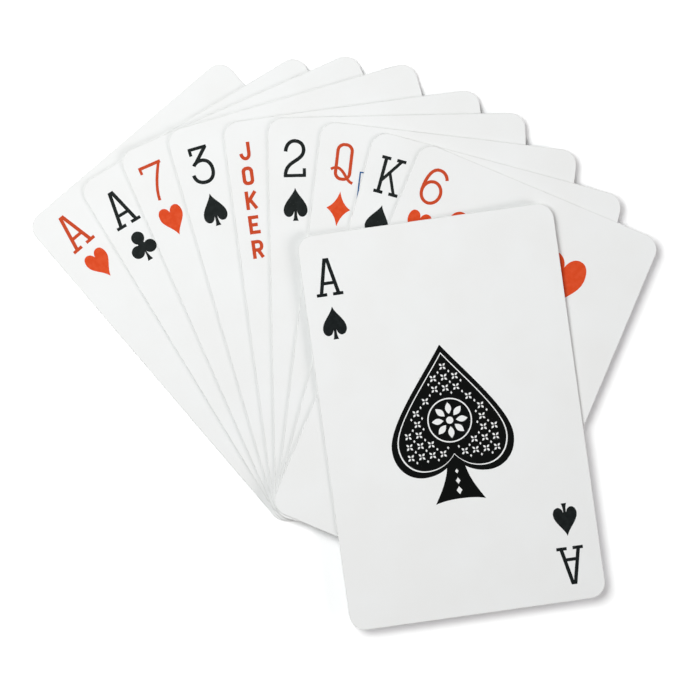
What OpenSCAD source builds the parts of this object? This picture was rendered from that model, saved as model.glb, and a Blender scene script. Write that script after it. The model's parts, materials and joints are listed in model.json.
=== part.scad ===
// Ten loose playing cards, face up on a table: nine spread in a fan, the tenth drawn out over them.
// Each card is two printed paper sheets bonded by a thin dark core, with its inks as films on the paper.
// Millimetres. +X is to the right, +Y runs up the spread and +Z is up from the table.
// The origin is on the table, at the centre of the bottom card's lower left corner, where the fan turns.

/* [Card] */
// Width of a card
card_w = 57; // [52:0.5:66]
// Length of a card
card_l = 88; // [84:0.5:100]
// Radius of a card's corners
corner_r = 3.5; // [2:0.25:5]
// Thickness of each of the two paper sheets
sheet_t = 0.12; // [0.08:0.01:0.2]
// Thickness of the dark core between the sheets
core_t = 0.02; // [0.01:0.01:0.06]
// Thickness of an ink film
ink_t = 0.02; // [0.01:0.01:0.04]
// Air between one card and the next
air_gap = 0.04; // [0.02:0.01:0.2]

/* [Fan] */
// Lean of the ace of hearts, left of upright
ace_of_hearts_lean = 40.5; // [36:0.25:50]
// Lean of the ace of clubs
ace_of_clubs_lean = 31.25; // [28:0.25:36]
// Lean of the seven of hearts
seven_of_hearts_lean = 23.75; // [20:0.25:28]
// Lean of the three of spades
three_of_spades_lean = 16.25; // [12:0.25:20]
// Lean of the joker
joker_lean = 7.75; // [4:0.25:12]
// Lean of the two of spades
two_of_spades_lean = 1.25; // [-2:0.25:4]
// Lean of the queen of diamonds
queen_of_diamonds_lean = -6.75; // [-10:0.25:-2]
// Lean of the king of spades
king_of_spades_lean = -15; // [-18:0.25:-10]
// Lean of the six of hearts
six_of_hearts_lean = -22.75; // [-30:0.25:-18]
// Lean of the ace of spades
ace_of_spades_lean = 8; // [0:0.25:16]
// How far the ace of spades is drawn out, to the right
draw_right = 17.5; // [10:0.5:40]
// How far the ace of spades is drawn out, down the table
draw_down = 24; // [10:0.5:60]
// Step of the cards' scatter where the fan turns
scatter = 0.25; // [0:0.05:0.5]
// Step of the printing's slip on the paper
slip = 0.1; // [0:0.02:0.15]

/* [Corner index] */
// From the card's left edge to the middle of the index
index_x = 6.2; // [5:0.1:6.8]
// From the card's top edge to the top of the index
index_top = 4.5; // [3:0.1:6]
// Width of the widest letter
index_w = 5.9; // [5:0.1:6.5]
// Height of the letters and numerals
cap_h = 8.4; // [7:0.1:10]
// Width of their strokes
stroke_w = 0.8; // [0.5:0.02:0.9]
// Thickness of their serifs and cross bars
serif_t = 0.72; // [0.4:0.02:0.8]
// From the foot of a letter to the top of its small pip
index_gap = 2; // [1:0.1:3]
// How much lower a small pip with a pointed top hangs
point_gap = 0.35; // [0:0.05:0.6]
// Width of the small pip
index_pip_w = 5.3; // [4:0.1:6]

/* [Pips] */
// Width of a pip on a number card
pip_w = 10.4; // [8:0.1:12]
// From the card's middle to a column of pips
pip_column = 11.3; // [9:0.1:12]
// From the card's middle to the top row of pips
pip_row = 26; // [22:0.1:28]
// Width of the single pip on the red and the club ace
ace_pip_w = 15; // [10:0.5:20]

/* [Joker] */
// From the card's left edge to the middle of the letters
letter_x = 5; // [4:0.1:6]
// Width of a letter
letter_w = 2.55; // [2:0.05:3]
// Height of a letter
letter_h = 4.1; // [3:0.1:4.5]
// From one letter to the next below it
letter_pitch = 5.45; // [5:0.05:6.5]
// Width of the letters' strokes
letter_stroke = 0.78; // [0.5:0.02:0.8]
// Width of the jester's cap across its bells
cap_w = 34; // [24:0.5:38]

/* [Ace of spades] */
// Width of the large spade
spade_w = 27.2; // [22:0.1:30]
// Height of the large spade
spade_h = 35; // [30:0.1:40]
// How far the large spade sits below the card's middle
spade_drop = 0.4; // [0:0.1:2]
// Width of the fine lines in the large spade
inline_w = 0.3; // [0.2:0.05:0.6]
// Width of the rosette in the large spade
rosette_w = 8; // [6:0.1:10]
// From one blossom to the next in the large spade's field
blossom_pitch = 2.4; // [2:0.1:3.5]

/* [Court cards] */
// From the widest letter to the frame
frame_gap = 0.8; // [0.6:0.1:2]
// From the card's top edge to the frame
frame_top = 10.4; // [8:0.1:14]
// Width of the frame's line
frame_line = 0.3; // [0.25:0.05:0.6]
// Width of the suit pip inside the frame
court_pip_w = 7.5; // [6:0.1:8.5]
// Width of the crown across its points
crown_w = 21; // [16:0.5:22]
// Height of the crown without its pearls
crown_h = 11; // [8:0.5:13]
// Height of the belt across the middle of the picture
belt_h = 8; // [6:0.5:11]
// Bare paper between the belt and a crown
crown_gap = 3; // [2:0.5:4]
// Bare paper that the suit pip keeps round itself in the picture
pip_clear = 0.6; // [0.3:0.1:1]

/* [Back] */
// Bare paper round the back's printing
back_border = 2.8; // [2:0.1:6]
// Width of the band round the back's panel
back_band = 1.4; // [0.5:0.1:3]
// Bare paper between the band and the panel
back_gap = 0.6; // [0.4:0.05:2]

/* [Hidden] */
$fn = 64;
CURVE_STEPS = 8;
LEAF_STEPS = 8;
PETAL_STEPS = 6;
ELLIPSE_STEPS = 48;

PAPER = [0.96, 0.96, 0.95];
CORE_GREY = [0.22, 0.23, 0.26];
BACK_INK = [0.20, 0.32, 0.58];

// Names of the ink colours and how they look
INKS = [
    ["red", [0.87, 0.29, 0.15]],
    ["black", [0.10, 0.12, 0.12]],
    ["blue", [0.20, 0.42, 0.72]],
    ["yellow", [0.95, 0.76, 0.22]]
];

COURT_INKS = ["red", "blue", "yellow", "black"];

// The cards from the bottom up: name, lean, where its lower left corner's centre lies in steps of scatter,
// how far its printing has gone in steps of slip, and its inks
CARDS = [
    ["ace_of_hearts", ace_of_hearts_lean, scatter * [0, 0], slip * [8, 9], ["red"]],
    ["ace_of_clubs", ace_of_clubs_lean, scatter * [3, 0], slip * [-7, -2], ["black"]],
    ["seven_of_hearts", seven_of_hearts_lean, scatter * [0, 6], slip * [-7, 0], ["red"]],
    ["three_of_spades", three_of_spades_lean, scatter * [1, 9], slip * [-5, -4], ["black"]],
    ["joker", joker_lean, scatter * [3, 5], slip * [-9, -3], ["red", "black"]],
    ["two_of_spades", two_of_spades_lean, scatter * [5, 5], slip * [-4, -3], ["black"]],
    ["queen_of_diamonds", queen_of_diamonds_lean, scatter * [6, 3], slip * [-3, 2], COURT_INKS],
    ["king_of_spades", king_of_spades_lean, scatter * [5, 2], slip * [-4, -4], COURT_INKS],
    ["six_of_hearts", six_of_hearts_lean, scatter * [4, 5], slip * [-3, 3], ["red"]],
    ["ace_of_spades", ace_of_spades_lean, [draw_right, -draw_down], slip * [-5, -9], ["black"]]
];

// Heights inside one card, from the underside of its back print
back_sheet_z = ink_t;
core_z = back_sheet_z + sheet_t;
face_sheet_z = core_z + core_t;
face_print_z = face_sheet_z + sheet_t;
level_step = face_print_z + ink_t + air_gap;

// Inside of the court cards' frame
frame_side = index_x + index_w / 2 + frame_gap;
frame_w = card_w - 2 * frame_side;
frame_l = card_l - 2 * frame_top;
court_margin = 1.5;
belt_line = 0.5;

// From the foot of a letter to the top of a pointed pip
POINTED_GAP = index_gap + point_gap;

// Heights of the suit shapes as shares of their widths
HEART_SHARE = 1.26;
SPADE_SHARE = 1.38;
DIAMOND_SHARE = 1.47;
CLUB_SHARE = 1.18;

// Points of a cubic curve from a to d, without d itself
function curve(a, b, c, d, steps = CURVE_STEPS) = [
    for (k = [0 : steps - 1])
        let (t = k / steps, s = 1 - t)
        s * s * s * a + 3 * s * s * t * b + 3 * s * t * t * c + t * t * t * d
];
// A whole outline from its right half, which runs from the top down
function both_sides(half) = concat(
    [for (p = half) [-p.x, p.y]],
    [for (k = [len(half) - 1 : -1 : 0]) if (half[k].x > 0) half[k]]
);
// Direction across a path at its point k
function across(path, k) =
    let (d = path[min(k + 1, len(path) - 1)] - path[max(k - 1, 0)])
    [-d.y, d.x] / norm(d);
// Outline of a stroke of width w along a path
function stroke(path, w) = concat(
    [for (k = [0 : len(path) - 1]) path[k] - across(path, k) * w / 2],
    [for (k = [len(path) - 1 : -1 : 0]) path[k] + across(path, k) * w / 2]
);
// Points of an ellipse
function ellipse(rx, ry) = [
    for (k = [0 : ELLIPSE_STEPS - 1])
        let (turn = k * 360 / ELLIPSE_STEPS)
        [rx * cos(turn), ry * sin(turn)]
];
// A pointed leaf that grows up from the origin
function leaf(w, l, steps = LEAF_STEPS) = both_sides([
    for (k = [steps : -1 : 0])
        let (t = k / steps)
        [w / 2 * sin(180 * t), l * t]
]);
// A place in the index: x from -0.5 to 0.5 over the widest letter, y from 0 to 1 over the height
function at(x, y) = [x * index_w, y * cap_h];
// A place in one of the joker's letters, in the same way
function on_letter(x, y) = [x * letter_w, y * letter_h];

// A straight stroke from p to q
module bar(p, q, w) {
    translate(p)
        rotate(atan2(q.y - p.y, q.x - p.x))
            translate([0, -w / 2])
                square([norm(q - p), w]);
}

// A rectangle with round corners, about the origin
module rounded(w, l, r) {
    square([w - 2 * r, l], center = true);
    square([w, l - 2 * r], center = true);
    for (x = [-1, 1], y = [-1, 1])
        translate([x * (w / 2 - r), y * (l / 2 - r)])
            circle(r);
}

// A rectangle's outline, drawn inside its edge
module box_line(w, l, line) {
    difference() {
        square([w, l], center = true);
        square([w - 2 * line, l - 2 * line], center = true);
    }
}

// A shape and its half turn about the card's middle
module both_ends() {
    children();
    rotate(180) children();
}

// The four suits, about the middle of their height

module heart(w) {
    half = concat(
        curve([0, -0.25], [0.03, -0.11], [0.13, 0], [0.257, 0]),
        curve([0.257, 0], [0.42, 0], [0.5, -0.14], [0.5, -0.36]),
        curve([0.5, -0.36], [0.5, -0.68], [0.13, -0.88], [0, -HEART_SHARE]),
        [[0, -HEART_SHARE]]
    );
    translate([0, w * HEART_SHARE / 2])
        polygon(w * both_sides(half));
}

module spade(w) {
    half = concat(
        curve([0, 0], [0.08, -0.3], [0.5, -0.6], [0.5, -0.925]),
        curve([0.5, -0.925], [0.5, -1.09], [0.4, -1.215], [0.28, -1.215]),
        curve([0.28, -1.215], [0.17, -1.215], [0.09, -1.12], [0.06, -0.97]),
        curve([0.06, -0.97], [0.05, -1.16], [0.075, -1.3], [0.12, -SPADE_SHARE]),
        [[0.12, -SPADE_SHARE]]
    );
    translate([0, w * SPADE_SHARE / 2])
        polygon(w * both_sides(half));
}

module diamond(w) {
    quarter = curve([0, DIAMOND_SHARE / 2], [0.09, 0.38], [0.24, 0.16], [0.5, 0]);
    lower = [for (k = [CURVE_STEPS - 1 : -1 : 0]) [quarter[k].x, -quarter[k].y]];
    half = concat(quarter, [[0.5, 0]], lower);
    polygon(w * both_sides(half));
}

module club(w) {
    r = 0.245 * w;
    low = -0.717 * w;
    foot = concat(
        curve([0.03, -0.7], [0.03, -0.95], [0.06, -1.08], [0.105, -CLUB_SHARE]),
        [[0.105, -CLUB_SHARE]]
    );
    translate([0, w * CLUB_SHARE / 2]) {
        translate([0, -r]) circle(r);
        for (side = [-1, 1])
            translate([side * (w / 2 - r), low]) circle(r);
        polygon([[0, -r], [r - w / 2, low], [w / 2 - r, low]]);
        polygon(w * both_sides(foot));
    }
}

// Letters and numerals of the corner index, standing on the origin

// A serif of the given length, standing on the foot line or hanging from the top line
module serif(x, length, top = false) {
    translate([x * index_w, top ? cap_h - serif_t / 2 : serif_t / 2])
        square([length * index_w, serif_t], center = true);
}

module letter_a() {
    intersection() {
        translate([-index_w / 2, 0]) square([index_w, cap_h]);
        union() {
            for (side = [-1, 1])
                bar(at(side * 0.03, 1.02), at(side * 0.34, 0), stroke_w);
        }
    }
    bar(at(-0.22, 0.34), at(0.22, 0.34), serif_t);
    for (side = [-1, 1])
        serif(side * 0.305, 0.39);
}

module numeral_seven() {
    descender = concat(
        curve(at(0.38, 0.96), at(0.17, 0.71), at(-0.12, 0.36), at(-0.16, 0)),
        [at(-0.16, 0)]
    );
    serif(0, 0.88, top = true);
    bar(at(-0.39, 0.97), at(-0.39, 0.8), stroke_w * 0.75);
    polygon(stroke(descender, stroke_w * 0.8));
}

module numeral_three() {
    bowl = concat(
        curve(at(-0.38, 0.29), at(-0.36, 0.12), at(-0.2, 0.036), at(0.02, 0.036)),
        curve(at(0.02, 0.036), at(0.25, 0.036), at(0.38, 0.17), at(0.38, 0.33)),
        curve(at(0.38, 0.33), at(0.38, 0.5), at(0.24, 0.62), at(0.02, 0.62)),
        curve(at(0.02, 0.62), at(-0.1, 0.62), at(-0.2, 0.59), at(-0.28, 0.52)),
        [at(-0.28, 0.52)]
    );
    serif(0.02, 0.7, top = true);
    bar(at(-0.28, 0.97), at(-0.28, 0.79), stroke_w * 0.85);
    bar(at(0.33, 0.96), at(-0.19, 0.57), stroke_w);
    polygon(stroke(bowl, stroke_w));
}

module numeral_two() {
    body = concat(
        curve(at(-0.33, 0.68), at(-0.31, 0.84), at(-0.18, 0.955), at(0.01, 0.955)),
        curve(at(0.01, 0.955), at(0.21, 0.955), at(0.35, 0.86), at(0.35, 0.72)),
        curve(at(0.35, 0.72), at(0.35, 0.59), at(0.22, 0.51), at(0.03, 0.43)),
        curve(at(0.03, 0.43), at(-0.15, 0.35), at(-0.35, 0.28), at(-0.355, 0.02)),
        [at(-0.355, 0.02)]
    );
    serif(0, 0.83);
    bar(at(0.36, 0.03), at(0.36, 0.23), stroke_w * 0.9);
    polygon(stroke(body, stroke_w));
}

module numeral_six() {
    arm = concat(
        curve(at(-0.365, 0.3), at(-0.4, 0.72), at(-0.25, 0.96), at(0.02, 0.96)),
        curve(at(0.02, 0.96), at(0.19, 0.96), at(0.33, 0.89), at(0.39, 0.77)),
        [at(0.39, 0.77)]
    );
    bowl_rx = 0.42 * index_w;
    bowl_ry = 0.33 * cap_h;
    polygon(stroke(arm, stroke_w * 0.9));
    translate([0, bowl_ry])
        difference() {
            polygon(ellipse(bowl_rx, bowl_ry));
            polygon(ellipse(bowl_rx - stroke_w * 0.9, bowl_ry - stroke_w * 0.9));
        }
}

module letter_q() {
    ring_w = 0.655 * index_w;
    ring_r = 0.3 * index_w;
    tail = concat(
        curve(at(-0.45, 0.275), at(-0.22, 0.4), at(-0.07, 0.31), at(0.07, 0.185)),
        curve(at(0.07, 0.185), at(0.19, 0.07), at(0.24, 0), at(0.41, -0.04)),
        [at(0.41, -0.04)]
    );
    ring_t = stroke_w * 0.9;
    translate([0, cap_h / 2])
        difference() {
            rounded(ring_w, cap_h, ring_r);
            rounded(ring_w - 2 * ring_t, cap_h - 2 * ring_t, ring_r - ring_t);
        }
    polygon(stroke(tail, stroke_w * 0.8));
}

module letter_k() {
    limb = stroke_w * 0.85;
    bar(at(-0.29, 0.02), at(-0.29, 0.98), stroke_w * 0.95);
    bar(at(0.31, 0.96), at(-0.27, 0.35), limb);
    bar(at(-0.03, 0.59), at(0.31, 0.04), limb);
    for (top = [true, false]) {
        serif(-0.29, 0.35, top);
        serif(0.29, 0.35, top);
    }
}

// Plain upright letters of the joker's index, standing on the origin

module plain_j() {
    hook = concat(
        [on_letter(0.35, 1)],
        curve(on_letter(0.35, 0.38), on_letter(0.35, 0.02), on_letter(-0.28, 0), on_letter(-0.36, 0.4)),
        [on_letter(-0.36, 0.4)]
    );
    polygon(stroke(hook, letter_stroke));
}

module plain_o() {
    hole_w = letter_w - 2 * letter_stroke;
    translate([0, letter_h / 2])
        difference() {
            rounded(letter_w, letter_h, letter_w * 0.42);
            rounded(hole_w, letter_h - 2 * letter_stroke, hole_w * 0.42);
        }
}

module plain_stem() {
    translate([-letter_w / 2, 0]) square([letter_stroke, letter_h]);
}

module plain_k() {
    plain_stem();
    bar(on_letter(-0.3, 0.4), on_letter(0.42, 0.97), letter_stroke);
    bar(on_letter(-0.12, 0.56), on_letter(0.4, 0.03), letter_stroke);
}

module plain_e() {
    plain_stem();
    for (row = [[0, 0.95], [0.5, 0.78], [1, 0.9]])
        translate([-letter_w / 2, row[0] * (letter_h - letter_stroke)])
            square([row[1] * letter_w, letter_stroke]);
}

module plain_r() {
    bowl = concat(
        [on_letter(-0.4, 0.905), on_letter(0, 0.905)],
        curve(on_letter(0.05, 0.905), on_letter(0.47, 0.905), on_letter(0.47, 0.46), on_letter(0.05, 0.46)),
        [on_letter(0.05, 0.46), on_letter(-0.4, 0.46)]
    );
    plain_stem();
    polygon(stroke(bowl, letter_stroke));
    bar(on_letter(0, 0.48), on_letter(0.38, 0.03), letter_stroke);
}

// Printing of the faces, about the card's middle

// A corner index: the letter or numeral, then the small pip under it, at both ends of the card
module index(pip_h, gap = index_gap) {
    both_ends()
        translate([index_x - card_w / 2, card_l / 2 - index_top - cap_h]) {
            children(0);
            translate([0, -gap - pip_h / 2]) children(1);
        }
}

// Pips at the given places, each a share of the column and of the row, upright above the middle
module pips(places) {
    for (place = places)
        translate([place.x * pip_column, place.y * pip_row])
            rotate(place.y < 0 ? 180 : 0)
                children();
}

module ace_of_hearts_face() {
    index(index_pip_w * HEART_SHARE) {
        letter_a();
        heart(index_pip_w);
    }
    heart(ace_pip_w);
}

module ace_of_clubs_face() {
    club_w = index_pip_w * 1.12;
    index(club_w * CLUB_SHARE) {
        letter_a();
        club(club_w);
    }
    club(ace_pip_w);
}

module seven_of_hearts_face() {
    index(index_pip_w * HEART_SHARE) {
        numeral_seven();
        heart(index_pip_w);
    }
    pips([[-1, 1], [1, 1], [0, 0.5], [-1, 0], [1, 0], [-1, -1], [1, -1]]) heart(pip_w);
}

module three_of_spades_face() {
    index(index_pip_w * SPADE_SHARE, POINTED_GAP) {
        numeral_three();
        spade(index_pip_w);
    }
    pips([[0, 1], [0, 0], [0, -1]]) spade(pip_w);
}

module two_of_spades_face() {
    index(index_pip_w * SPADE_SHARE, POINTED_GAP) {
        numeral_two();
        spade(index_pip_w);
    }
    pips([[0, 1], [0, -1]]) spade(pip_w);
}

module six_of_hearts_face() {
    index(index_pip_w * HEART_SHARE) {
        numeral_six();
        heart(index_pip_w);
    }
    pips([for (x = [-1, 1], y = [1, 0, -1]) [x, y]]) heart(pip_w);
}

// The ace of spades has one large spade, with a plain ornament left white in it

// Right half of the large spade's blade, from its point to the cleft over the stem
BLADE_STEPS = 16;
BLADE = spade_w * concat(
    curve([0, 0], [0.18, -0.25], [0.5, -0.6], [0.5, -0.8], BLADE_STEPS),
    curve([0.5, -0.8], [0.5, -0.95], [0.4, -1.06], [0.26, -1.06], BLADE_STEPS),
    curve([0.26, -1.06], [0.16, -1.06], [0.07, -1.02], [0, -0.93], BLADE_STEPS),
    [[0, -0.93]]
);
BLADE_MIDDLE = [0, -0.62 * spade_w];
SPADE_TOP = [0, spade_h / 2 - spade_drop];
CLEFT = BLADE[len(BLADE) - 1];
stem_l = spade_h + CLEFT.y;
ring_share = 0.62;
field_share = 0.78;

// The blade's outline at a share of its full size, about its own middle
function blade(share) = both_sides([for (p = BLADE) BLADE_MIDDLE + share * (p - BLADE_MIDDLE)]);

module spade_stem() {
    low = spade_h / spade_w;
    side = concat(
        curve([0.06, -0.85], [0.06, -1.05], [0.12, -1.15], [0.205, -low]),
        curve([0.205, -low], [0.14, -low + 0.02], [0.07, -low + 0.025], [0, -low + 0.025]),
        [[0, -low + 0.025]]
    );
    translate(SPADE_TOP)
        polygon(spade_w * both_sides(side));
}

// A ring of petals round a small eye
module rosette(w) {
    petals = 8;
    for (k = [0 : petals - 1])
        rotate(k * 360 / petals)
            translate([0, w * 0.17])
                polygon(leaf(w * 0.17, w * 0.33));
    circle(w * 0.1);
}

// A fine ring that sets the rosette apart from the field
module rosette_ring() {
    outer = ring_share * rosette_w;
    difference() {
        circle(outer);
        circle(outer - inline_w);
    }
}

// Whether a point lies within a closed outline: a line to its right then crosses it an odd number of times
function within(outline, p) = len([
    for (k = [0 : len(outline) - 1])
        let (a = outline[k], b = outline[(k + 1) % len(outline)])
            if ((a.y > p.y) != (b.y > p.y) && p.x < a.x + (b.x - a.x) * (p.y - a.y) / (b.y - a.y)) k
]) % 2 == 1;

// Four petals set on the slant
module blossom(w) {
    for (k = [0 : 3])
        rotate(45 + 90 * k)
            translate([0, w * 0.08])
                polygon(leaf(w * 0.25, w * 0.44, PETAL_STEPS));
}

module lozenge(w) {
    polygon(w * [[0.5, 0], [0, 0.7], [-0.5, 0], [0, -0.7]]);
}

// Blossoms in rows with a lozenge between every four, wherever the field has room for a whole one
module blossom_field() {
    field = blade(field_share);
    clear = ring_share * rosette_w + blossom_pitch * 0.36;
    steps = ceil(spade_h / blossom_pitch);
    for (row = [-steps : steps], column = [-steps : steps]) {
        shift = (row % 2 == 0 ? 0 : 0.5) * blossom_pitch;
        p = BLADE_MIDDLE + [column * blossom_pitch + shift, row * blossom_pitch / 2];
        if (within(field, p) && norm(p - BLADE_MIDDLE) > clear)
            translate(p)
                if (row % 2 == 0) blossom(blossom_pitch * 0.76);
                else lozenge(blossom_pitch * 0.2);
    }
}

// Three lozenges down the stem, each larger than the one above
module stem_lozenges() {
    translate(CLEFT)
        for (k = [0 : 2])
            translate([0, -(0.3 + 0.22 * k) * stem_l])
                lozenge(stem_l * (0.08 + 0.026 * k));
}

module ace_of_spades_face() {
    line_share = 0.9;
    index(index_pip_w * SPADE_SHARE, POINTED_GAP) {
        letter_a();
        spade(index_pip_w);
    }
    difference() {
        union() {
            translate(SPADE_TOP) polygon(blade(1));
            spade_stem();
        }
        translate(SPADE_TOP) {
            difference() {
                polygon(blade(line_share));
                polygon(blade(line_share - 2 * inline_w / spade_w));
            }
            translate(BLADE_MIDDLE) {
                rosette(rosette_w);
                rosette_ring();
            }
            blossom_field();
            stem_lozenges();
        }
    }
}

// The joker has its name down the edge and a jester's cap in the middle

module joker_letters() {
    both_ends()
        for (k = [0 : 4])
            translate([letter_x - card_w / 2, card_l / 2 - index_top - letter_h - k * letter_pitch]) {
                if (k == 0) plain_j();
                if (k == 1) plain_o();
                if (k == 2) plain_k();
                if (k == 3) plain_e();
                if (k == 4) plain_r();
            }
}

// One horn of the cap, from its band out to its bell on the right
module cap_horn() {
    polygon(cap_w * concat(
        [[0.03, -0.2]],
        curve([0.26, -0.2], [0.27, 0.02], [0.36, 0.1], [0.44, 0.06]),
        curve([0.44, 0.06], [0.28, 0.28], [0.05, 0.1], [0.03, -0.2])
    ));
}

module cap_peak() {
    polygon(cap_w * both_sides(concat(
        curve([0.03, 0.36], [0.1, 0.25], [0.14, 0.17], [0.15, 0.1]),
        curve([0.15, 0.1], [0.07, 0.03], [0.025, -0.08], [0.015, -0.2]),
        [[0.015, -0.2]]
    )));
}

module cap_bell(x, y) {
    translate(cap_w * [x, y]) circle(cap_w * 0.04);
}

module joker_red_face() {
    joker_letters();
    difference() {
        for (side = [0, 1]) mirror([side, 0]) cap_horn();
        cap_peak();
    }
    cap_bell(0, 0.41);
}

module joker_black_face() {
    cap_peak();
    for (side = [-1, 1]) cap_bell(side * 0.46, 0.02);
    translate([0, cap_w * -0.25])
        square([cap_w * 0.56, cap_w * 0.07], center = true);
}

// The court cards share one picture, the same from both ends: a frame, a crown and a belt
QUEEN_POINTS = 5;
KING_POINTS = 3;
QUEEN_PIP_H = court_pip_w * DIAMOND_SHARE;
KING_PIP_H = court_pip_w * SPADE_SHARE;

// Places of a crown's points, from left to right over its foot
function crown_tips(points) = [for (k = [0 : points - 1]) [(k / (points - 1) - 0.5) * crown_w, crown_h]];

// Moves a crown to its place over the belt
module over_belt() {
    translate([0, belt_h / 2 + crown_gap]) children();
}

module crown(points) {
    tips = crown_tips(points);
    foot = crown_w * 0.42;
    notch_y = crown_h * 0.48;
    rim = [for (k = [points - 1 : -1 : 1]) each [tips[k], [(tips[k].x + tips[k - 1].x) / 2, notch_y]]];
    over_belt() polygon(concat([[-foot, 0], [foot, 0]], rim, [tips[0]]));
}

module crown_band() {
    over_belt()
        translate([0, crown_h * 0.2])
            square([crown_w * 0.8, crown_h * 0.2], center = true);
}

module crown_pearls(points) {
    r = crown_h * 0.08;
    over_belt()
        for (tip = crown_tips(points))
            translate(tip + [0, r * 1.3]) circle(r);
}

module belt_stones() {
    stones = 5;
    step = frame_w / stones;
    for (k = [0 : stones - 1])
        translate([(k + 0.5) * step - frame_w / 2, 0])
            diamond(belt_h * 0.42);
}

module court_pip(pip_h) {
    both_ends()
        translate([court_margin + court_pip_w / 2 - frame_w / 2, frame_l / 2 - court_margin - pip_h / 2])
            children();
}

// Leaves bare paper round the suit pips in what is drawn
module clear_of_pips(pip_h) {
    difference() {
        children();
        court_pip(pip_h) square([court_pip_w, pip_h] + 2 * pip_clear * [1, 1], center = true);
    }
}

module court_blue() {
    box_line(frame_w, frame_l, frame_line);
    both_ends() crown_band();
}

module court_yellow(points, pip_h) {
    clear_of_pips(pip_h)
        difference() {
            both_ends() crown(points);
            both_ends() crown_band();
        }
    belt_stones();
}

module belt_ground() {
    difference() {
        square([frame_w - 2 * court_margin, belt_h - 2 * belt_line], center = true);
        belt_stones();
    }
}

module queen_of_diamonds_red_face() {
    index(index_pip_w * DIAMOND_SHARE, POINTED_GAP) {
        letter_q();
        diamond(index_pip_w);
    }
    court_pip(QUEEN_PIP_H) diamond(court_pip_w);
    belt_ground();
}

module queen_of_diamonds_yellow_face() {
    court_yellow(QUEEN_POINTS, QUEEN_PIP_H);
}

module queen_of_diamonds_black_face() {
    clear_of_pips(QUEEN_PIP_H) both_ends() crown_pearls(QUEEN_POINTS);
}

module king_of_spades_black_face() {
    index(index_pip_w * SPADE_SHARE, POINTED_GAP) {
        letter_k();
        spade(index_pip_w);
    }
    court_pip(KING_PIP_H) spade(court_pip_w);
    belt_ground();
}

module king_of_spades_red_face() {
    clear_of_pips(KING_PIP_H) both_ends() crown_pearls(KING_POINTS);
}

module king_of_spades_yellow_face() {
    court_yellow(KING_POINTS, KING_PIP_H);
}

// One ink of one card's face
module face_drawing(name, ink) {
    if (name == "ace_of_hearts") ace_of_hearts_face();
    if (name == "ace_of_clubs") ace_of_clubs_face();
    if (name == "seven_of_hearts") seven_of_hearts_face();
    if (name == "three_of_spades") three_of_spades_face();
    if (name == "joker" && ink == "red") joker_red_face();
    if (name == "joker" && ink == "black") joker_black_face();
    if (name == "two_of_spades") two_of_spades_face();
    if (name == "queen_of_diamonds" && ink == "red") queen_of_diamonds_red_face();
    if (name == "queen_of_diamonds" && ink == "blue") court_blue();
    if (name == "queen_of_diamonds" && ink == "yellow") queen_of_diamonds_yellow_face();
    if (name == "queen_of_diamonds" && ink == "black") queen_of_diamonds_black_face();
    if (name == "king_of_spades" && ink == "black") king_of_spades_black_face();
    if (name == "king_of_spades" && ink == "blue") court_blue();
    if (name == "king_of_spades" && ink == "red") king_of_spades_red_face();
    if (name == "king_of_spades" && ink == "yellow") king_of_spades_yellow_face();
    if (name == "six_of_hearts") six_of_hearts_face();
    if (name == "ace_of_spades") ace_of_spades_face();
}

// A card's layers, each in its place in the fan

// Moves what is drawn about a card's middle to that card, at a height inside it
module on_card(level, z) {
    card = CARDS[level];
    translate([card[2].x, card[2].y, level * level_step + z])
        rotate(card[1])
            translate([card_w / 2 - corner_r, card_l / 2 - corner_r, 0])
                children();
}

module card_layer(level, z, t) {
    on_card(level, z)
        linear_extrude(t)
            rounded(card_w, card_l, corner_r);
}

module face_sheet(level) {
    color(PAPER) card_layer(level, face_sheet_z, sheet_t);
}

module core(level) {
    color(CORE_GREY) card_layer(level, core_z, core_t);
}

module back_sheet(level) {
    color(PAPER) card_layer(level, back_sheet_z, sheet_t);
}

// The back's printing: a panel inside a band
module back_print(level) {
    inset = back_border + back_band + back_gap;
    color(BACK_INK)
        on_card(level, 0)
            linear_extrude(ink_t) {
                box_line(card_w - 2 * back_border, card_l - 2 * back_border, back_band);
                square([card_w - 2 * inset, card_l - 2 * inset], center = true);
            }
}

module face_print(level, ink) {
    card = CARDS[level];
    look = INKS[search([ink], INKS)[0]][1];
    color(look)
        on_card(level, face_print_z)
            linear_extrude(ink_t)
                translate(card[3])
                    face_drawing(card[0], ink);
}

for (level = [0 : len(CARDS) - 1]) {
    name = CARDS[level][0];
    face_sheet(level);
    core(level);
    back_sheet(level);
    back_print(level);
    for (ink = CARDS[level][4])
        face_print(level, ink);
}
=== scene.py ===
# %% [markdown]
# # Ten playing cards spread in a fan
#
# Nine paper cards lie face up in a fan on a white table, and a tenth, the ace of spades, is drawn
# out over them. A playing card is a laminate: two sheets of coated paper with a thin dark film of
# glue between them, printed with ink on both sides.
#
# The packed model already holds every sheet, film and print at its true size and place. This lesson
# dresses them: it gives the sheets the soft rim that a cutting die leaves, finishes paper, inks and
# glue, and then sets up the table, the light and the camera. Lengths are named in millimetres, and `MM`
# turns them into Blender's metres.

# %% Load the packed cards
import json
import math

import bmesh
import bpy
from mathutils import Matrix, Vector

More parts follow.
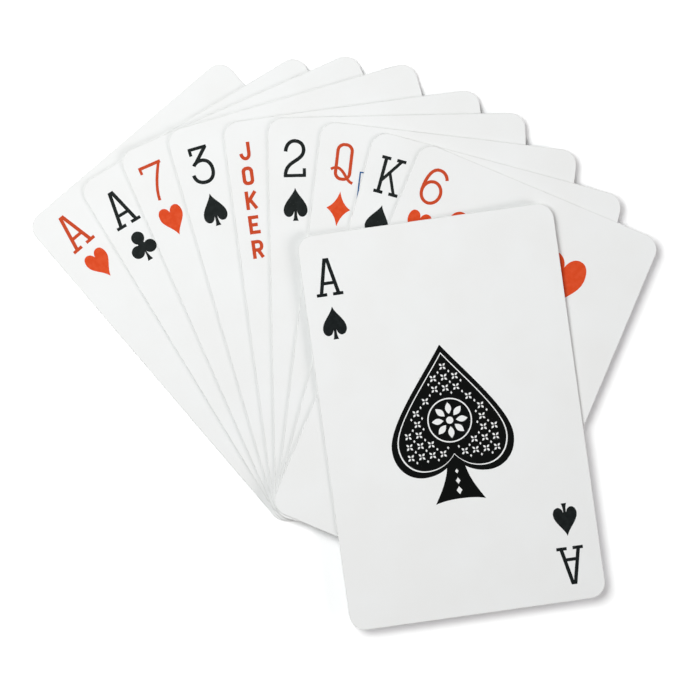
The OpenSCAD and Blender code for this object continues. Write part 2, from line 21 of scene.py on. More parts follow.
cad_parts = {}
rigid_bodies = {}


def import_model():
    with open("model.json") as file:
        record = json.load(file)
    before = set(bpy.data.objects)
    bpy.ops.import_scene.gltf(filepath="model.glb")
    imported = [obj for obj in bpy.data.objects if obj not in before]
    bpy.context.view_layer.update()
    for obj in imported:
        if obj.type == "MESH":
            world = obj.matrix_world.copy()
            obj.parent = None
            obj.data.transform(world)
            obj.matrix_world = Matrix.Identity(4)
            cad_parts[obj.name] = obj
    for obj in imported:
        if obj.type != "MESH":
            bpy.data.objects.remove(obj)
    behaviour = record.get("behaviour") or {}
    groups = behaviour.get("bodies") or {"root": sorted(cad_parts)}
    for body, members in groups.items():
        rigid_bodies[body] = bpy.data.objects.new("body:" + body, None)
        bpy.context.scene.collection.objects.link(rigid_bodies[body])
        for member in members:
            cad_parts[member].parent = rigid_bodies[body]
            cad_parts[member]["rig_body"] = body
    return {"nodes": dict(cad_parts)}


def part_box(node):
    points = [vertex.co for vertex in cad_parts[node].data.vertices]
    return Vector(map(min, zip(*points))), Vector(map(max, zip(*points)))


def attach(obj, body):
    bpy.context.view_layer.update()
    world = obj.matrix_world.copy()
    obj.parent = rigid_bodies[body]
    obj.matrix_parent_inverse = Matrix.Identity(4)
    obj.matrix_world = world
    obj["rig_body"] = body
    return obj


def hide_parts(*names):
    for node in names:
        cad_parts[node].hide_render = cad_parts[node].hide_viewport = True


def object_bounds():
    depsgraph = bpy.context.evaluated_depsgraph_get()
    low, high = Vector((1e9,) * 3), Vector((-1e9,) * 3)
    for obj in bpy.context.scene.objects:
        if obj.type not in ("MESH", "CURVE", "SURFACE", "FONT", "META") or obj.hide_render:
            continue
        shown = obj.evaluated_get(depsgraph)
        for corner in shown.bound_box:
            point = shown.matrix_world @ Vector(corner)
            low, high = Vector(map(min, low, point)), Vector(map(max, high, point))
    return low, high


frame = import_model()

cad_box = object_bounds()
size = cad_box[1] - cad_box[0]
print("the cards span", [round(side * 1000, 2) for side in size], "mm")

# %% [markdown]
# ## Reading the cards from the frame
#
# Every card has a face sheet, so the names of the cards can be read from the nodes. How a card lies
# could be typed in again as ten angles, but then a change in the model would leave the new pieces
# behind. Each sheet is measured instead. The largest of its upright faces is a long side, which gives
# the lean, and a card is the same turned end for end, so the middle of its box is the card's middle.

# %% Measure each card
MM = 0.001
FACE = "_face_sheet"
UPRIGHT = 0.5
TOUCHING = 0.001
CARDS = [node[: -len(FACE)] for node in frame["nodes"] if node.endswith(FACE)]


def measure(card):
    """The lean of a card, its middle at the foot of its face sheet, and the sheet's size in mm."""
    mesh = bpy.data.objects[card + FACE].data
    upright = [face for face in mesh.polygons if abs(face.normal.z) < UPRIGHT]
    across = max(upright, key=lambda face: face.area).normal
    lean = math.atan2(across.y, across.x)
    if abs(lean) > math.pi / 2:
        lean -= math.copysign(math.pi, lean)
    low, high = [Vector(corner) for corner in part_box(card + FACE)]
    middle = (low + high) / 2
    middle.z = low.z
    straighten = Matrix.Rotation(-lean, 4, "Z") @ Matrix.Translation(-middle)
    points = [straighten @ vertex.co / MM for vertex in mesh.vertices]
    half = Vector([max(point[axis] for point in points) for axis in range(3)])
    top_edge = [point.x for point in points if half.y - point.y < TOUCHING]
    return {"lean": lean, "middle": middle, "half": half, "corner": half.x - max(top_edge)}


laid = {card: measure(card) for card in CARDS}
blank_size = laid[CARDS[0]]
HALF_W, HALF_L, SHEET_T = blank_size["half"]
CORNER_R = blank_size["corner"]
for card in CARDS:
    print(f"{card:18} leans {math.degrees(laid[card]['lean']):6.1f} degrees")
print(f"a sheet is {2 * HALF_W:.1f} x {2 * HALF_L:.1f} x {SHEET_T:.2f} mm, corners {CORNER_R:.1f} mm")

# %% [markdown]
# ## The camera
#
# The cards are seen from straight above with no perspective, as a copy stand or a scanner sees them.
# An orthographic camera would do that, but a very long lens high above the table does the same and
# also works when the camera is moved round the cards.

# %% Put the camera above the cards
PICTURE_MIDDLE = (14.18, 34.36)
PICTURE_WIDTH = 154.9
CAMERA_HEIGHT = 3000

aim = Vector((*PICTURE_MIDDLE, 0)) * MM
eye = bpy.data.cameras.new("camera")
eye.lens = eye.sensor_width * CAMERA_HEIGHT / PICTURE_WIDTH
camera = bpy.data.objects.new("camera", eye)
camera.location = aim + Vector((0, 0, CAMERA_HEIGHT * MM))
bpy.context.scene.collection.objects.link(camera)
bpy.context.scene.camera = camera
print(f"a {eye.lens:.0f} mm lens sees {PICTURE_WIDTH} mm of the table")

# %% [markdown]
# ## Shader sums as Python sums
#
# A finish is a small sum: so much noise, so far from the rim, so much of one colour over another.
# Built node by node such a sum is hard to read, so one class wraps a socket. Adding or multiplying two
# of them adds a Math node, and every other node comes from its one `node` method.

# %% A socket that can be reckoned with
class Wire:
    """A value in a material's node tree."""

    def __init__(self, socket):
        self.socket = socket
        self.tree = socket.id_data

    def node(self, kind, settings, sockets, out=0):
        """Adds a node: its settings are set first, then its sockets get values or links."""
        made = self.tree.nodes.new("ShaderNode" + kind)
        for name, setting in settings.items():
            setattr(made, name, setting)
        for name, value in sockets.items():
            if isinstance(value, Wire):
                self.tree.links.new(value.socket, made.inputs[name])
            else:
                made.inputs[name].default_value = value
        return Wire(made.outputs[out])

    def math(self, operation, *values):
        return self.node("Math", {"operation": operation}, dict(enumerate(values)))

    def __add__(self, other):
        return self.math("ADD", self, other)

    def __sub__(self, other):
        return self.math("SUBTRACT", self, other)

    def __rsub__(self, other):
        return self.math("SUBTRACT", other, self)

    def __mul__(self, other):
        return self.math("MULTIPLY", self, other)

    def __truediv__(self, other):
        return self.math("DIVIDE", self, other)

    __radd__ = __add__
    __rmul__ = __mul__


def ramp(value, low, high):
    """0 below low, 1 above high, and a smooth rise between them."""
    limits = {"From Min": low, "From Max": high}
    return value.node("MapRange", {"interpolation_type": "SMOOTHSTEP"}, {"Value": value, **limits})


def blend(mask, under, over):
    """One colour over another, as far as the mask says."""
    return mask.node("Mix", {"data_type": "RGBA"}, {0: mask, 6: under, 7: over}, out=2)


print("numbers may stand before a wire in", [name for name in vars(Wire) if name.startswith("__r")])

# %% [markdown]
# ## Where a finish reads its place
#
# Grain and mottle are read from Object coordinates. Every piece has its place in its mesh, so no two
# cards show the same patch of grain. What follows the outline of a card, such as the rim, is read from
# a map named `card` that runs from 0 to 1 across and along the sheet.

# %% Start a finish
CARD_MAP = "card"


def start_finish(name):
    """A new material, its shader, and the place of a point in the frame of the cards."""
    material = bpy.data.materials.new(name)
    material.use_nodes = True
    nodes = material.node_tree.nodes
    spot = Wire(nodes.new("ShaderNodeTexCoord").outputs["Object"])
    return material, nodes["Principled BSDF"], spot


def set_shader(shader, **sockets):
    """Sets constants and links wires on a shader, with its socket names in small letters."""
    for name, value in sockets.items():
        socket = shader.inputs[name.replace("_", " ").title().replace("Ior", "IOR")]
        if isinstance(value, Wire):
            value.tree.links.new(value.socket, socket)
        else:
            socket.default_value = value


def patches(spot, grain, detail=2.0):
    """Soft random patches, 0 to 1, each about as large as the grain in mm."""
    return spot.node("TexNoise", {}, {"Vector": spot, "Scale": 1 / (grain * MM), "Detail": detail})


def tooth(height, depth):
    """A bump of a depth in mm."""
    return height.node("Bump", {}, {"Height": height, "Distance": depth * MM})


def on_card(spot):
    """The place on a card in mm, measured from its middle."""
    place = spot.node("UVMap", {"uv_map": CARD_MAP}, {})
    span = (2 * HALF_W, 2 * HALF_L, 0)
    sockets = {0: place, 1: span, 2: (-HALF_W, -HALF_L, 0)}
    return place.node("VectorMath", {"operation": "MULTIPLY_ADD"}, sockets)


def parts(place):
    """The two numbers of a place."""
    return [place.node("SeparateXYZ", {}, {"Vector": place}, out=axis) for axis in (0, 1)]


def from_rim(place):
    """How far in from the edge of the card a place is, in mm."""
    folded = place.node("VectorMath", {"operation": "ABSOLUTE"}, {0: place})
    straight = (HALF_W - CORNER_R, HALF_L - CORNER_R, 0)
    past = folded.node("VectorMath", {"operation": "SUBTRACT"}, {0: folded, 1: straight})
    corner = past.node("VectorMath", {"operation": "MAXIMUM"}, {0: past, 1: (0, 0, 0)})
    round_part = corner.node("VectorMath", {"operation": "LENGTH"}, {0: corner}, out=1)
    past_x, past_y = parts(past)
    inside = past_x.math("MINIMUM", past_x.math("MAXIMUM", past_x, past_y), 0)
    return CORNER_R - round_part - inside


print("finishes read Object coordinates, and the map", CARD_MAP)

# %% [markdown]
# ## Coated card stock
#
# The paper is white and nearly smooth. Clay coating leaves soft clouds in its white, the fibres under
# it give a fine tooth, and a stray fibre shows as a speck here and there. The last fraction of a
# millimetre before the cut is greyed in patches, partly as handling wear and partly as painted shade
# for the thin line of shade along the edge of a card. A flat white would do from afar, but close up it
# would look like plastic. The specks are the points of a Voronoi pattern in space, cut by the sheet, so
# that they come out sparse and of unlike sizes.

# %% Mix the card stock
COOL_WHITE = (0.870, 0.876, 0.874, 1)
WARM_WHITE = (0.852, 0.853, 0.846, 1)
RIM_WEAR_AND_SHADE_GREY = (0.70, 0.70, 0.685, 1)
SPECK_BROWN = (0.34, 0.31, 0.27, 1)
FIBRE = 0.3
CLOUD = 11
CLOUD_SHARE = 0.8
CLOUDY = (0.3, 0.7)
RIM = 0.22
RIM_PATCH_GRAIN = 2.5
LEAST_RIM_DARKENING = 0.25
MORE_RIM_DARKENING = 0.5
SPECK_SPACING = 9.0
SPECK_R = 0.15
SPECK_CORE = 0.3
SPECK_SHOWS = 0.8
PAPER_TOOTH = 0.004


def card_stock():
    material, shader, spot = start_finish("coated card stock")
    fibre = patches(spot, FIBRE, detail=3)
    clouds = patches(spot, CLOUD) * CLOUD_SHARE + fibre * (1 - CLOUD_SHARE)
    white = blend(ramp(clouds, *CLOUDY), COOL_WHITE, WARM_WHITE)
    # painted shade: the rim is greyed in patches, partly handling wear and partly painted shade along the
    # card's edge
    rim_wear_and_shade = 1 - ramp(from_rim(on_card(spot)), 0, RIM)
    rim_darkening = LEAST_RIM_DARKENING + MORE_RIM_DARKENING * patches(spot, RIM_PATCH_GRAIN)
    rim_darkened = blend(rim_wear_and_shade * rim_darkening, white, RIM_WEAR_AND_SHADE_GREY)
    to_stray = spot.node("TexVoronoi", {}, {"Vector": spot, "Scale": 1 / (SPECK_SPACING * MM)})
    speck = 1 - ramp(to_stray * SPECK_SPACING, SPECK_CORE * SPECK_R, SPECK_R)
    set_shader(
        shader,
        base_color=blend(speck * SPECK_SHOWS, rim_darkened, SPECK_BROWN),
        roughness=0.44 + 0.12 * fibre,
        specular_ior_level=0.3,
        normal=tooth(fibre, PAPER_TOOTH),
    )
    return material


paper = card_stock()
print(paper.name, "has", len(paper.node_tree.nodes), "nodes")

# %% [markdown]
# ## The cut edge
#
# A die cuts straight through the sheets, so the wall of a card is bare fibre without coating: duller,
# a little warmer, and combed along the edge. The grain of the walls is stretched along the table by
# squeezing the height before the noise is read.

# %% Comb the cut edge
EDGE_PALE = (0.78, 0.77, 0.74, 1)
EDGE_DARK = (0.60, 0.58, 0.545, 1)
EDGE_GRAIN = 0.3
EDGE_SQUEEZE = 9
EDGE_TOOTH = 0.01
PATCHY = (0.35, 0.7)


def cut_edge():
    material, shader, spot = start_finish("cut paper edge")
    stretched = spot.node("Mapping", {}, {"Vector": spot, "Scale": (1, 1, EDGE_SQUEEZE)})
    comb = patches(stretched, EDGE_GRAIN, detail=4)
    set_shader(
        shader,
        base_color=blend(ramp(comb, *PATCHY), EDGE_PALE, EDGE_DARK),
        roughness=0.75 + 0.15 * comb,
        specular_ior_level=0.2,
        normal=tooth(comb, EDGE_TOOTH),
    )
    return material


bare_edge = cut_edge()
print(bare_edge.name, "has", len(bare_edge.node_tree.nodes), "nodes")

# %% [markdown]
# ## Printing inks
#
# The faces are printed in flat black, an orange red, a deep blue and a warm yellow. Offset ink lies
# thin, so it is a touch uneven over a millimetre or so, lets the paper through in pinholes, and is less
# glossy than the coating round it. All four share one recipe and differ in two tones.
#
# Two zones get a third tone. The red index letters take a heavier lay: ink squeezes out to the edges of
# thin strokes, so they are darker than the pips below them. The large spade of the top card, the one big
# solid, gets painted shade: it is painted the deepest black, standing in for the middle of the card
# catching less sheen from the soft box than its upper left. The prints have no `card` map, but what
# reaches farthest out in a print is the same turned end for end, so its middle is the middle of its box,
# and a Mapping node can turn Object coordinates back about it. Each zone ends in bare paper, where its
# edge can't be seen.

# %% Find the zones of a print
INDEX_W = 10.8
INDEX_L = 13.9
WORD_L = 31.5
SOLID_R = 22
ZONE_EDGE = 0.3


def on_print(spot, card, node):
    """The place on a print in mm, measured from its middle along the sides of its card."""
    low, high = [Vector(corner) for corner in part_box(node)]
    turn = {"Location": (low + high) / 2, "Rotation": (0, 0, laid[card]["lean"]), "Scale": (MM, MM, MM)}
    return spot.node("Mapping", {"vector_type": "TEXTURE"}, {"Vector": spot, **turn})


def past(value, limit):
    """1 where a value in mm is past a limit, else 0."""
    return ramp(value, limit, limit + ZONE_EDGE)


def index_zone(place, length):
    """1 on the letters in the corners of a card, as far as a length from its ends."""
    folded = place.node("VectorMath", {"operation": "ABSOLUTE"}, {0: place})
    across, along = parts(folded)
    return past(across, HALF_W - INDEX_W) * past(along, HALF_L - length)


def spade_shade_zone(place):
    """1 on the large spade in the middle of a card, where painted shade deepens the black."""
    out = place.node("VectorMath", {"operation": "LENGTH"}, {0: place}, out=1)
    return 1 - past(out, SOLID_R)


print(f"index letters end {INDEX_L} mm from the end of a card, and the joker's word {WORD_L} mm")

# %% Mix the inks
LAY_GRAIN = 1.1
PINHOLE_GRAIN = 0.16
PINHOLES = (0.74, 0.82)
PINHOLE_SHOWS = 0.35
INK_SHEEN = 0.07
INK_TOOTH = 0.003


def printing_ink(name, tone, thin_tone, sheen=INK_SHEEN, heavy_ink_and_shade_tone=None, zone=None):
    """An ink in two tones, and in a third one inside a zone if there is one."""
    material, shader, spot = start_finish(name)
    lay = patches(spot, LAY_GRAIN, detail=4)
    pinhole = ramp(patches(spot, PINHOLE_GRAIN), *PINHOLES)
    inked = blend(ramp(lay, *PATCHY), tone, thin_tone)
    if zone:
        # the third tone is a darker print on the red letters, and painted shade on the large spade
        inked = blend(zone(spot), inked, heavy_ink_and_shade_tone)
    set_shader(
        shader,
        base_color=blend(pinhole * PINHOLE_SHOWS, inked, COOL_WHITE),
        roughness=0.46 + 0.14 * lay,
        specular_ior_level=sheen,
        normal=tooth(lay, INK_TOOTH),
    )
    return material


def print_in(node, ink):
    """Gives a print its ink."""
    bpy.data.objects[node].material_slots[0].material = ink


inks = {
    "black": printing_ink("black ink", (0.0056, 0.0081, 0.0075, 1), (0.0111, 0.0144, 0.0140, 1)),
    "blue": printing_ink("blue ink", (0.006, 0.085, 0.270, 1), (0.012, 0.110, 0.310, 1)),
    "yellow": printing_ink("yellow ink", (0.850, 0.520, 0.055, 1), (0.880, 0.580, 0.090, 1)),
}
for node in frame["nodes"]:
    for colour, ink in inks.items():
        if node.endswith(f"_{colour}_print"):
            print_in(node, ink)
print("inks without zones:", ", ".join(inks))

# %% Mix the inks with zones
TOP_CARD = "ace_of_spades"
SPADE_TONES = (0.0081, 0.0103, 0.0106, 1), (0.0136, 0.0166, 0.0171, 1)
SPADE_SHEEN = 0.03
# painted shade: the deeper black of the large spade stands in for less sheen from the soft box in the
# middle of the card
SPADE_SHADE_BLACK = (0.0022, 0.0026, 0.0024, 1)
RED_TONES = (0.705, 0.066, 0.013, 1), (0.742, 0.087, 0.025, 1)
STROKE_RED = (0.575, 0.067, 0.020, 1)


def red_ink(card, node):
    """Red for a print, darker on its letters."""
    length = WORD_L if card == "joker" else INDEX_L

    def letters(spot):
        return index_zone(on_print(spot, card, node), length)

    return printing_ink(node + " ink", *RED_TONES, INK_SHEEN, STROKE_RED, letters)


def spade_ink(card, node):
    """Black for a print, with painted shade making it deepest on the large spade in its middle."""

    def solid(spot):
        return spade_shade_zone(on_print(spot, card, node))

    return printing_ink(node + " ink", *SPADE_TONES, SPADE_SHEEN, SPADE_SHADE_BLACK, solid)


red_cards = [card for card in CARDS if card + "_red_print" in frame["nodes"]]
for card in red_cards:
    print_in(card + "_red_print", red_ink(card, card + "_red_print"))
print_in(TOP_CARD + "_black_print", spade_ink(TOP_CARD, TOP_CARD + "_black_print"))
print("red is on", ", ".join(red_cards))

# %% [markdown]
# ## The glue film
#
# The film between the sheets is nearly black, so that no card can be read through its back. Only its
# edge shows, as a hairline in the wall of the card.

# %% Finish the glue film
GLUE_BLACK = (0.030, 0.031, 0.034, 1)
GLUE_GREY = (0.075, 0.074, 0.072, 1)
SMEAR_GRAIN = 0.4


def glue_film():
    material, shader, spot = start_finish("dark glue film")
    smear = patches(spot, SMEAR_GRAIN, detail=3)
    set_shader(
        shader,
        base_color=blend(smear, GLUE_BLACK, GLUE_GREY),
        roughness=0.5 + 0.2 * smear,
    )
    return material


glue = glue_film()
for card in CARDS:
    bpy.data.objects[card + "_core"].material_slots[0].material = glue
print(glue.name, "on", len(CARDS), "cores")

# %% [markdown]
# ## The print on the backs
#
# The backs lie face down and can't be seen in the picture, so they get a plain old pattern: a lattice
# of fine white lines with a four-petalled flower in every cell, and a solid band round it with a white
# hairline. The pattern follows the card and not the table, so it is drawn on the card's own map, turned
# by an eighth of a turn. A cell is folded onto itself with the fractional part of the place.

# %% Draw the back's pattern
BACK_BLUE = (0.030, 0.105, 0.330, 1)
BACK_BLUE_THIN = (0.050, 0.140, 0.390, 1)
LATTICE = 3.6
LATTICE_LINE = 0.24
LINE_EDGE = (0.35 * LATTICE_LINE, 0.65 * LATTICE_LINE)
PETALS = 4
PETAL_R = 0.95
PETAL_MEAN = 0.66
PETAL_EDGE = 0.03
HAIRLINE = 0.14
HAIRLINE_EDGE = (0.4 * HAIRLINE, 0.6 * HAIRLINE)
BAND_MIDDLE = 3.5
BAND_IN = 4.5
BAND_EDGE = 0.05


def back_pattern():
    material, shader, spot = start_finish("back ink")
    place = on_card(spot)
    turned = place.node("Mapping", {}, {"Vector": place, "Rotation": (0, 0, math.pi / 4)})
    cell = [axis.math("FRACT", axis / LATTICE + 0.5) * LATTICE - LATTICE / 2 for axis in parts(turned)]
    across, along = [axis.math("ABSOLUTE", axis) for axis in cell]
    to_line = LATTICE / 2 - across.math("MAXIMUM", across, along)
    line = 1 - ramp(to_line, *LINE_EDGE)
    out = across.math("SQRT", across * across + along * along)
    angle = along.math("ARCTAN2", along, across)
    petal = PETAL_R * (PETAL_MEAN + (1 - PETAL_MEAN) * angle.math("COSINE", PETALS * angle))
    flower = ramp(petal - out, -PETAL_EDGE, PETAL_EDGE)
    rim = from_rim(place)
    in_panel = ramp(rim, BAND_IN, BAND_IN + BAND_EDGE)
    hairline = 1 - ramp(rim.math("ABSOLUTE", rim - BAND_MIDDLE), *HAIRLINE_EDGE)
    white = in_panel * line.math("MAXIMUM", line, flower) + (1 - in_panel) * hairline
    lay = patches(spot, LAY_GRAIN, detail=4)
    inked = blend(ramp(lay, *PATCHY), BACK_BLUE, BACK_BLUE_THIN)
    set_shader(
        shader,
        base_color=blend(white, inked, COOL_WHITE),
        roughness=0.42 + 0.12 * lay,
        specular_ior_level=0.25,
        normal=tooth(lay, INK_TOOTH),
    )
    return material


back_ink = back_pattern()
print(back_ink.name, "has", len(back_ink.node_tree.nodes), "nodes")

# %% [markdown]
# ## One sheet, cut by a die
#
# In the packed model a sheet is a flat plate with sharp edges. On a real card the die presses the
# coating down as it enters, which rolls the rim of the face over by a few hundredths of a millimetre.
# That rim is what catches the light along the edge of a card. The sheet is modelled once, in
# millimetres because such small edges are safer to bevel at that size: a plane, its corners rounded, a
# narrow border inset so that the flat of the sheet stays flat, thickness by extruding, and the rolled
# rim by bevelling the top edges.

# %% Tools for the bench
MERGE_WITHIN = 1e-4
SMOOTH_BELOW = math.radians(40)


def start_plane(name, width, length):
    """A new flat plane, alone in the selection and open in edit mode."""
    bpy.ops.object.select_all(action="DESELECT")
    bpy.ops.mesh.primitive_plane_add(size=1, location=(0, 0, 0))
    piece = bpy.context.object
    piece.name = piece.data.name = name
    bpy.ops.object.mode_set(mode="EDIT")
    bpy.ops.mesh.select_mode(type="VERT")
    bpy.ops.transform.resize(value=(width, length, 1))
    return piece


def pick(piece, kind, wanted):
    """In edit mode, selects only the vertices, edges or faces that a test picks."""
    bpy.ops.mesh.select_mode(type=kind)
    bpy.ops.mesh.select_all(action="DESELECT")
    form = bmesh.from_edit_mesh(piece.data)
    group = {"VERT": form.verts, "EDGE": form.edges, "FACE": form.faces}[kind]
    for item in group:
        if wanted(item):
            item.select_set(True)
    form.select_flush_mode()
    bmesh.update_edit_mesh(piece.data)


def close_up(piece):
    """Merges doubles, turns the faces outwards, leaves edit mode and smooths what is round."""
    bpy.ops.mesh.select_all(action="SELECT")
    bpy.ops.mesh.remove_doubles(threshold=MERGE_WITHIN)
    bpy.ops.mesh.normals_make_consistent(inside=False)
    bpy.ops.object.mode_set(mode="OBJECT")
    bpy.ops.object.shade_smooth_by_angle(angle=SMOOTH_BELOW)


print("the bench is ready")

# %% Cut the sheet
CORNER_STEPS = 14
BORDER = 0.09
ROLLED = 0.045
ROLL_STEPS = 3
NEAR_TOP = 0.9


def is_top_rim(edge):
    """An edge where the flat top of the sheet meets its wall."""
    heights = [vertex.co.z for vertex in edge.verts]
    tilts = [abs(face.normal.z) for face in edge.link_faces]
    return min(heights) > SHEET_T * NEAR_TOP and min(tilts) < UPRIGHT < max(tilts)


def cut_sheet():
    sheet = start_plane("sheet blank", 2 * HALF_W, 2 * HALF_L)
    bpy.ops.mesh.bevel(offset=CORNER_R, segments=CORNER_STEPS, affect="VERTICES")
    bpy.ops.mesh.select_all(action="SELECT")
    bpy.ops.mesh.inset(thickness=BORDER)
    bpy.ops.mesh.select_all(action="SELECT")
    bpy.ops.mesh.extrude_region_move(TRANSFORM_OT_translate={"value": (0, 0, SHEET_T)})
    bpy.ops.mesh.select_all(action="SELECT")
    bpy.ops.mesh.normals_make_consistent(inside=False)
    pick(sheet, "EDGE", is_top_rim)
    bpy.ops.mesh.bevel(offset=ROLLED, segments=ROLL_STEPS, affect="EDGES")
    close_up(sheet)
    return sheet


sheet_blank = cut_sheet()
extent = [round(side, 3) for side in sheet_blank.dimensions]
print("the sheet is", extent, "mm with", len(sheet_blank.data.polygons), "faces")

# %% [markdown]
# ## The printed back
#
# The print on a back is a band and a panel inside it, with bare paper between them. Both come from one
# plane: two insets leave three rings, the middle ring is deleted, and what is left gets the thickness
# of the ink.

# %% Print the back
INK_T = 0.02
BACK_BORDER = 2.8
BACK_BAND = 1.4
BACK_GAP = 0.6


def is_bare_ring(face):
    """A face of the ring of paper between the band and the panel."""
    middle = face.calc_center_median()
    from_edge = min(HALF_W - abs(middle.x), HALF_L - abs(middle.y))
    return 0 < from_edge - BACK_BORDER - BACK_BAND < BACK_GAP


def print_back():
    film = start_plane("back print blank", 2 * (HALF_W - BACK_BORDER), 2 * (HALF_L - BACK_BORDER))
    bpy.ops.mesh.inset(thickness=BACK_BAND)
    bpy.ops.mesh.inset(thickness=BACK_GAP)
    pick(film, "FACE", is_bare_ring)
    bpy.ops.mesh.delete(type="FACE")
    bpy.ops.mesh.select_all(action="SELECT")
    bpy.ops.mesh.extrude_region_move(TRANSFORM_OT_translate={"value": (0, 0, INK_T)})
    close_up(film)
    return film


back_blank = print_back()
print("the back's print has", len(back_blank.data.polygons), "faces")

# %% [markdown]
# ## Laying the cards
#
# Ten cards need ten face sheets, ten back sheets and ten back prints, each a copy of its blank with a
# mesh of its own. The back sheet is the same blank turned over, so that its rolled rim faces down. The
# `card` map is made while the blank still lies square to the axes, and then the place of the card goes
# into the mesh. Each copy moves with its card and stands for the plain plate of the packed model.

# %% Map a blank
WALL_TILT = 0.3


def map_blank(blank):
    """Gives a blank the card map."""
    layer = blank.data.uv_layers.new(name=CARD_MAP)
    for loop in blank.data.loops:
        point = blank.data.vertices[loop.vertex_index].co
        layer.data[loop.index].uv = (0.5 + point.x / (2 * HALF_W), 0.5 + point.y / (2 * HALF_L))


def finish_walls(blank, flat, wall):
    """One finish on the flat of a blank and another on its walls."""
    blank.data.materials.append(flat)
    blank.data.materials.append(wall)
    for face in blank.data.polygons:
        face.material_index = int(abs(face.normal.z) < WALL_TILT)


for blank, flat, wall in ((sheet_blank, paper, bare_edge), (back_blank, back_ink, back_ink)):
    map_blank(blank)
    finish_walls(blank, flat, wall)
print("blanks are mapped")

# %% Lay the copies
TURNED_OVER = Matrix.Translation((0, 0, SHEET_T)) @ Matrix.Rotation(math.pi, 4, "X")


def lay_copy(blank, card, part, name, turn=Matrix()):
    """Copies a blank to where a part of a card lies, and lets it stand for that part."""
    node = card + part
    copy = blank.copy()
    copy.data = blank.data.copy()
    copy.name = copy.data.name = card + name
    bpy.context.scene.collection.objects.link(copy)
    middle = laid[card]["middle"].copy()
    middle.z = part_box(node)[0].z
    place = Matrix.Translation(middle) @ Matrix.Rotation(laid[card]["lean"], 4, "Z")
    copy.data.transform(place @ Matrix.Scale(MM, 4) @ turn)
    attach(copy, frame["nodes"][node]["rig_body"])
    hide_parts(node)
    return copy


for card in CARDS:
    lay_copy(sheet_blank, card, FACE, "_face_paper")
    lay_copy(sheet_blank, card, "_back_sheet", "_back_paper", TURNED_OVER)
    lay_copy(back_blank, card, "_back_print", "_back_pattern")
for blank in (sheet_blank, back_blank):
    bpy.data.objects.remove(blank)
print("laid", 3 * len(CARDS), "pieces on", len(CARDS), "cards")

# %% [markdown]
# ## The lifted corner of the top card
#
# A used card never lies quite flat. The top card curls up a little towards its upper right corner, so
# that its edge stands clear of the card below and throws a soft shadow there. Paper bends along one
# line at a time, like a cylinder, so the curl is a row of small folds across the corner. Cuts are made
# first, then everything beyond each cut is turned up by the same small angle, from the corner inwards.
# All the layers of the card are turned about the same lines, so they stay together. The core and the
# print have no blank, so copies of the packed ones are bent.

# %% Bend the top card
CURL_TURN = math.radians(28)
CURL_LIFT = 1.2
FOLDS = 16
CUT_WITHIN = 1e-5


def bend_up(piece, to_bench, reach):
    """Curls what lies beyond the bench's x axis, in small folds, until its far end has risen."""
    step = reach / FOLDS
    hair = step / 100
    angle = 2 * CURL_LIFT / (reach * (FOLDS + 1))
    piece.data.transform(to_bench)
    bpy.ops.object.select_all(action="DESELECT")
    piece.select_set(True)
    bpy.context.view_layer.objects.active = piece
    bpy.ops.object.mode_set(mode="EDIT")
    bpy.ops.mesh.select_all(action="SELECT")
    bpy.ops.mesh.remove_doubles(threshold=MERGE_WITHIN)
    for fold in range(FOLDS):
        bpy.ops.mesh.select_all(action="SELECT")
        bpy.ops.mesh.bisect(plane_co=(0, fold * step, 0), plane_no=(0, 1, 0), threshold=CUT_WITHIN)
    for fold in reversed(range(FOLDS)):
        line = fold * step
        pick(piece, "VERT", lambda vertex: vertex.co.y > line + hair)
        bpy.ops.transform.rotate(value=-angle, orient_axis="X", center_override=(0, line, 0))
    bpy.ops.object.mode_set(mode="OBJECT")
    piece.data.transform(to_bench.inverted())


top = laid[TOP_CARD]
on_table = Matrix.Translation(top["middle"]) @ Matrix.Rotation(top["lean"], 4, "Z")
bench = on_table @ Matrix.Rotation(CURL_TURN - math.pi / 2, 4, "Z") @ Matrix.Scale(MM, 4)
corner = Vector((HALF_W - CORNER_R, HALF_L - CORNER_R))
reach = corner.dot((math.cos(CURL_TURN), math.sin(CURL_TURN))) + CORNER_R


def copy_node(node, name):
    """A copy of a packed node that stands for it."""
    copy = bpy.data.objects.new(name, frame["nodes"][node].data.copy())
    copy.data.name = name
    bpy.context.scene.collection.objects.link(copy)
    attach(copy, frame["nodes"][node]["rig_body"])
    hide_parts(node)
    return copy


COPIED_LAYERS = ("_face_paper", "_back_paper", "_back_pattern")
top_layers = [bpy.data.objects[TOP_CARD + part] for part in COPIED_LAYERS]
top_layers.append(copy_node(TOP_CARD + "_core", TOP_CARD + "_bent_core"))
top_layers.append(copy_node(TOP_CARD + "_black_print", TOP_CARD + "_bent_print"))
for layer in top_layers:
    bend_up(layer, bench.inverted(), reach)
    heights = [vertex.co.z / MM for vertex in layer.data.vertices]
    print(f"{layer.name:28} reaches from {min(heights):.2f} to {max(heights):.2f} mm")

# %% [markdown]
# ## Table and light
#
# The cards lie on a white table. A large soft box hangs close over them, up and to the left, so that
# the far cards are a little darker. It reaches from straight above to well off to the side, so shadows
# start at the edge of a card and fade within two millimetres. A second one, low and far off to the
# right, draws the thin line of shade along the left edge of each card, and a pale room lights
# everything a little.
#
# A white ground could be had with more light, but then the cards would burn out. The table is brighter
# to the camera than the light makes it instead, which keeps it white and keeps the shadows on it. Past
# the cards it fades to plain white, so that it has no far edge when it is seen from low down.

# %% Set the table
TABLE_SIZE = 6000
TABLE_DROP = 0.05
TABLE_WHITE = 0.80
TABLE_TO_CAMERA = 1.29
FADE_FROM = 130
FADE_TO = 260


def seen_directly(tree):
    """1 where a ray comes from the camera or from a reflection, else 0."""
    path = tree.nodes.new("ShaderNodeLightPath")
    rays = [Wire(path.outputs[f"Is {kind} Ray"]) for kind in ("Camera", "Glossy", "Transmission")]
    return rays[0].math("MAXIMUM", rays[0], rays[0].math("MAXIMUM", rays[1], rays[2]))


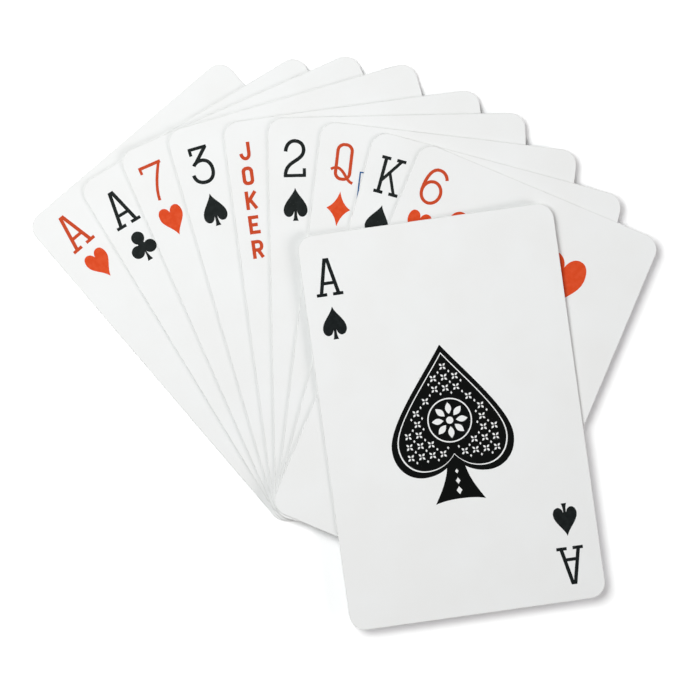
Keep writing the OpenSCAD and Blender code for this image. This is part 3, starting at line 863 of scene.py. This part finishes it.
def table_top():
    material, shader, spot = start_finish("white table")
    seen = seen_directly(material.node_tree)
    white = TABLE_WHITE + seen * (TABLE_TO_CAMERA - TABLE_WHITE)
    matt = white.node("BsdfDiffuse", {}, {"Color": white})
    plain = white.node("Emission", {}, {"Color": (1, 1, 1, 1)})
    out = spot.node("VectorMath", {"operation": "LENGTH"}, {0: spot}, out=1)
    faded = seen * ramp(out, FADE_FROM * MM, FADE_TO * MM)
    ground = faded.node("MixShader", {}, {0: faded, 1: matt, 2: plain})
    surface = material.node_tree.nodes["Material Output"].inputs["Surface"]
    material.node_tree.links.new(ground.socket, surface)
    return material


bpy.ops.object.select_all(action="DESELECT")
below = aim - Vector((0, 0, TABLE_DROP * MM))
bpy.ops.mesh.primitive_plane_add(size=TABLE_SIZE * MM, location=below)
table = bpy.context.object
table.name = "table"
table.data.materials.append(table_top())
print("the table lies at", table.location.z)

# %% Light the room
ROOM_LIGHT = 0.175


def soft_box(name, watts, side, distance, towards, tint):
    """A square lamp that looks at the middle of the picture from a direction."""
    lamp = bpy.data.lights.new(name, "AREA")
    lamp.energy = watts
    lamp.size = side * MM
    lamp.color = tint
    stand = bpy.data.objects.new(name, lamp)
    stand.location = aim + Vector(towards).normalized() * distance * MM
    stand.rotation_euler = Vector(towards).to_track_quat("Z", "Y").to_euler()
    stand.visible_camera = False
    bpy.context.scene.collection.objects.link(stand)
    return stand


room = bpy.data.worlds.new("pale room")
room.use_nodes = True
bpy.context.scene.world = room
background = room.node_tree.nodes["Background"]
background.inputs["Color"].default_value = (1, 1, 1, 1)
seen = seen_directly(room.node_tree)
room.node_tree.links.new((ROOM_LIGHT + seen * (1 - ROOM_LIGHT)).socket, background.inputs["Strength"])

key = soft_box(
    "key soft box",
    watts=2.06,
    side=360,
    distance=500,
    towards=(-0.40, 0.30, 1),
    tint=(0.98, 1.0, 0.997),
)
fill = soft_box(
    "fill soft box",
    watts=22.0,
    side=800,
    distance=2400,
    towards=(1, -0.35, 0.5),
    tint=(1.0, 0.955, 0.955),
)
bpy.context.scene.view_settings.view_transform = "Standard"
for lamp in (key, fill):
    print(lamp.name, "stands at", [round(side, 2) for side in lamp.location])

# %% [markdown]
# ## The size of the dressed cards
#
# The dressed cards have to fill the same box as the packed ones.

# %% Update the scene
bpy.context.view_layer.update()
